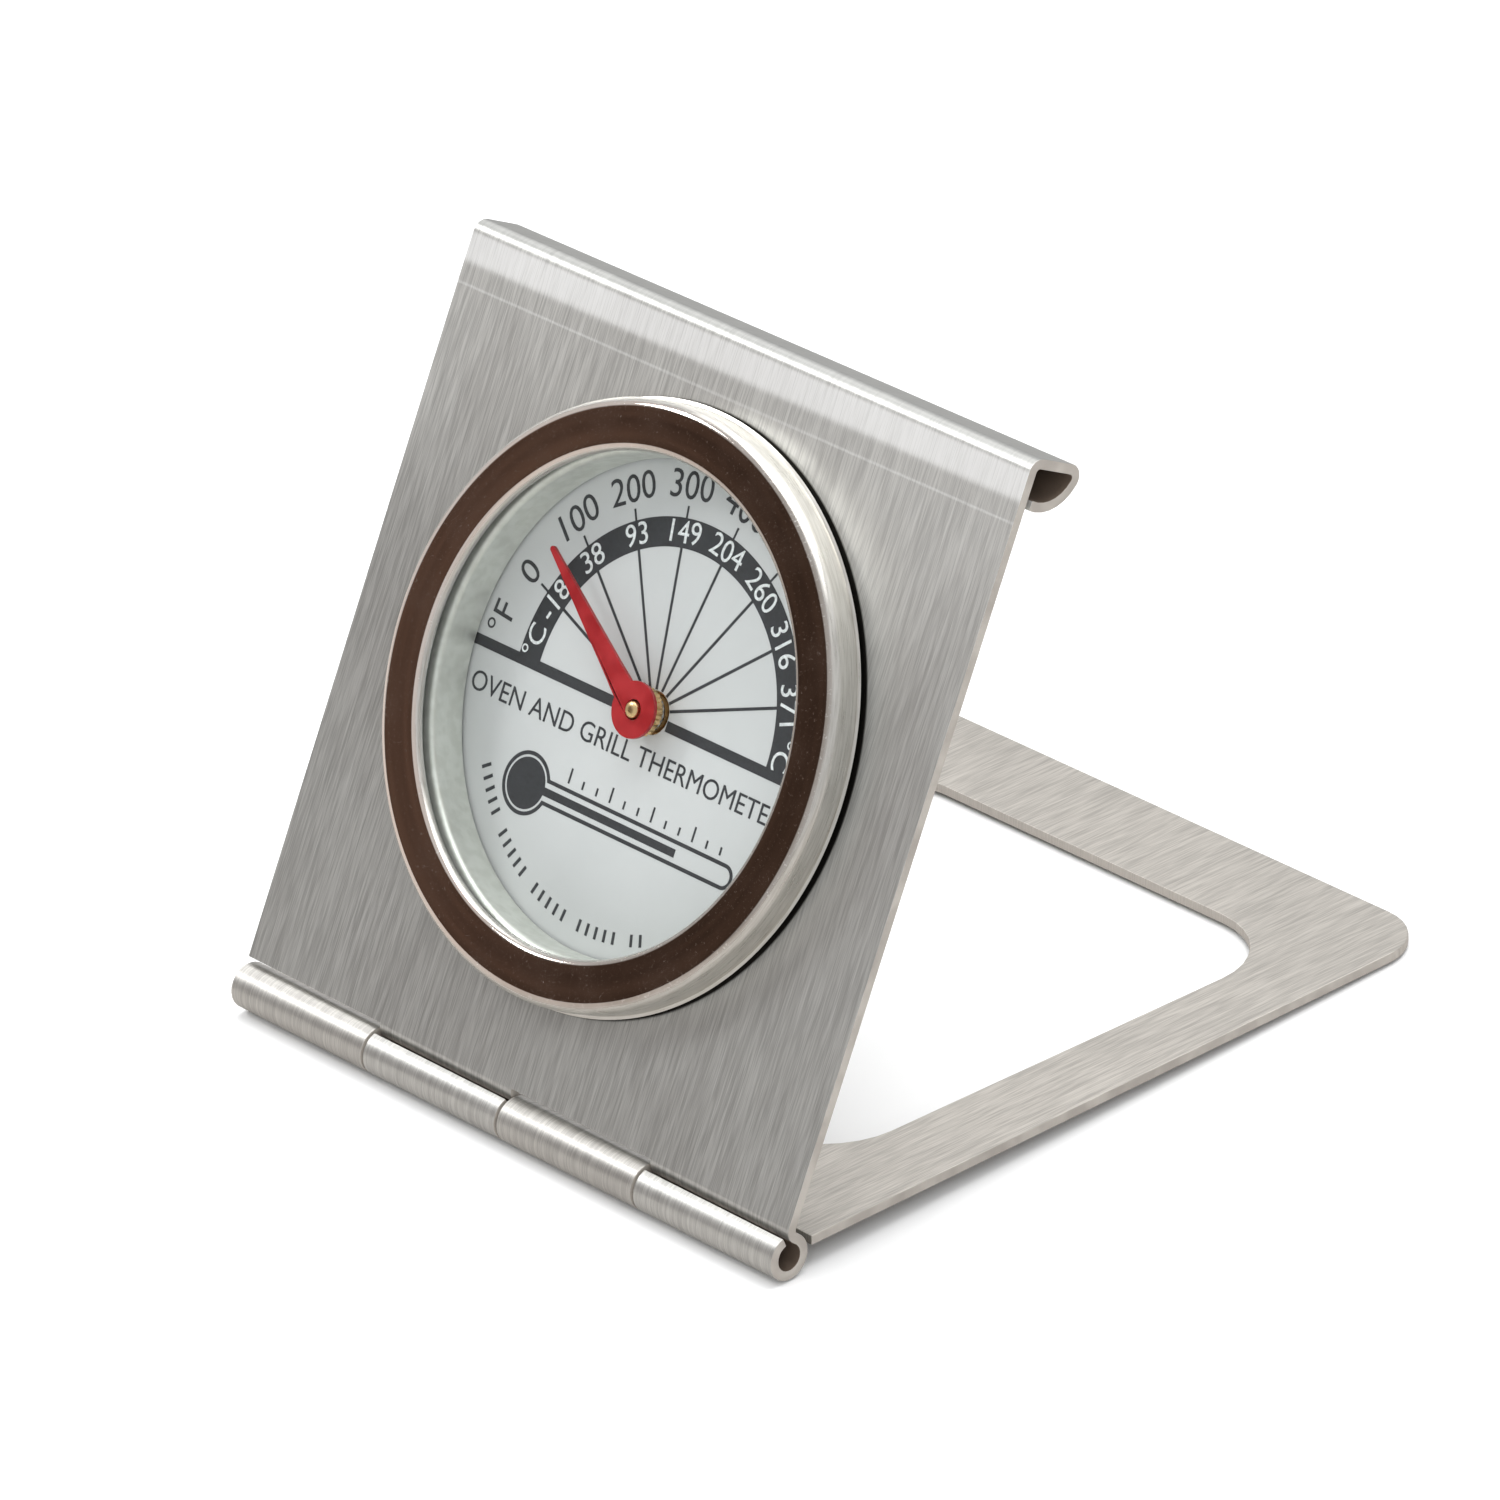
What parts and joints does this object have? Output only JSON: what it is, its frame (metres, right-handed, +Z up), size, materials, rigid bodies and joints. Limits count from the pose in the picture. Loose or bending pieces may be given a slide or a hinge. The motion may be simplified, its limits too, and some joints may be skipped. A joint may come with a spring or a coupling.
{
  "type": "oven thermometer",
  "caption": "Folding dial thermometer: a glazed round instrument in a sheet metal front plate with a rolled hanging lip, hinged to a window frame that folds out as its stand.",
  "frame": {"origin": "centre of the bounding box, at the level of the surface it stands on", "axes": "+X along the hinge, +Y from the hinge to the far edge of the base frame, +Z up; the dial faces -Y and up"},
  "size_m": [0.076, 0.089, 0.0715],
  "materials": {
    "stand_steel": "brushed along the frame",
    "pin_steel": "drawn wire",
    "plate_steel": "brushed up the plate",
    "ring_steel": "satin",
    "case_steel": "satin",
    "bezel_steel": "polished face, satin side",
    "glass": "clear",
    "gasket": "matt",
    "spacer_aluminium": "satin",
    "dial_enamel": "matt, pale blue-grey with dark printing",
    "brass": "turned",
    "small_steel": "plain",
    "pointer_red": "semi-gloss lacquer",
    "bimetal": "rolled strip"
  },
  "bodies": {
    "stand": {"base_frame": "stand_steel", "hinge_pin": "pin_steel"},
    "dial_head": {"front_plate": "plate_steel", "retaining_ring": "ring_steel", "case_cup": "case_steel", "bezel_ring": "bezel_steel", "lens": "glass", "lens_gasket": "gasket", "spacer_ring": "spacer_aluminium", "dial_plate": "dial_enamel", "dial_bush": "brass", "bimetal_coil": "bimetal", "coil_bracket": "small_steel", "bracket_rivet": "small_steel", "rear_bush": "brass"},
    "pointer_assembly": {"pointer": "pointer_red", "pointer_hub": "brass", "thrust_washer": "small_steel", "spindle": "brass", "spindle_clip": "small_steel", "coil_collar": "brass"}
  },
  "joints": [
    {"name": "stand_hinge", "type": "hinge", "parent": "stand", "child": "dial_head", "pos_m": [0, -0.04212, 0.00235], "axis": [1, 0, 0], "range_deg": [-51, 115]},
    {"name": "pointer_spin", "type": "hinge", "parent": "dial_head", "child": "pointer_assembly", "pos_m": [0.0005, -0.0247, 0.03916], "axis": [0, -0.8898, 0.4564], "range_deg": [-126, 14], "stiffness_Nm_per_rad": 0.002}
  ]
}
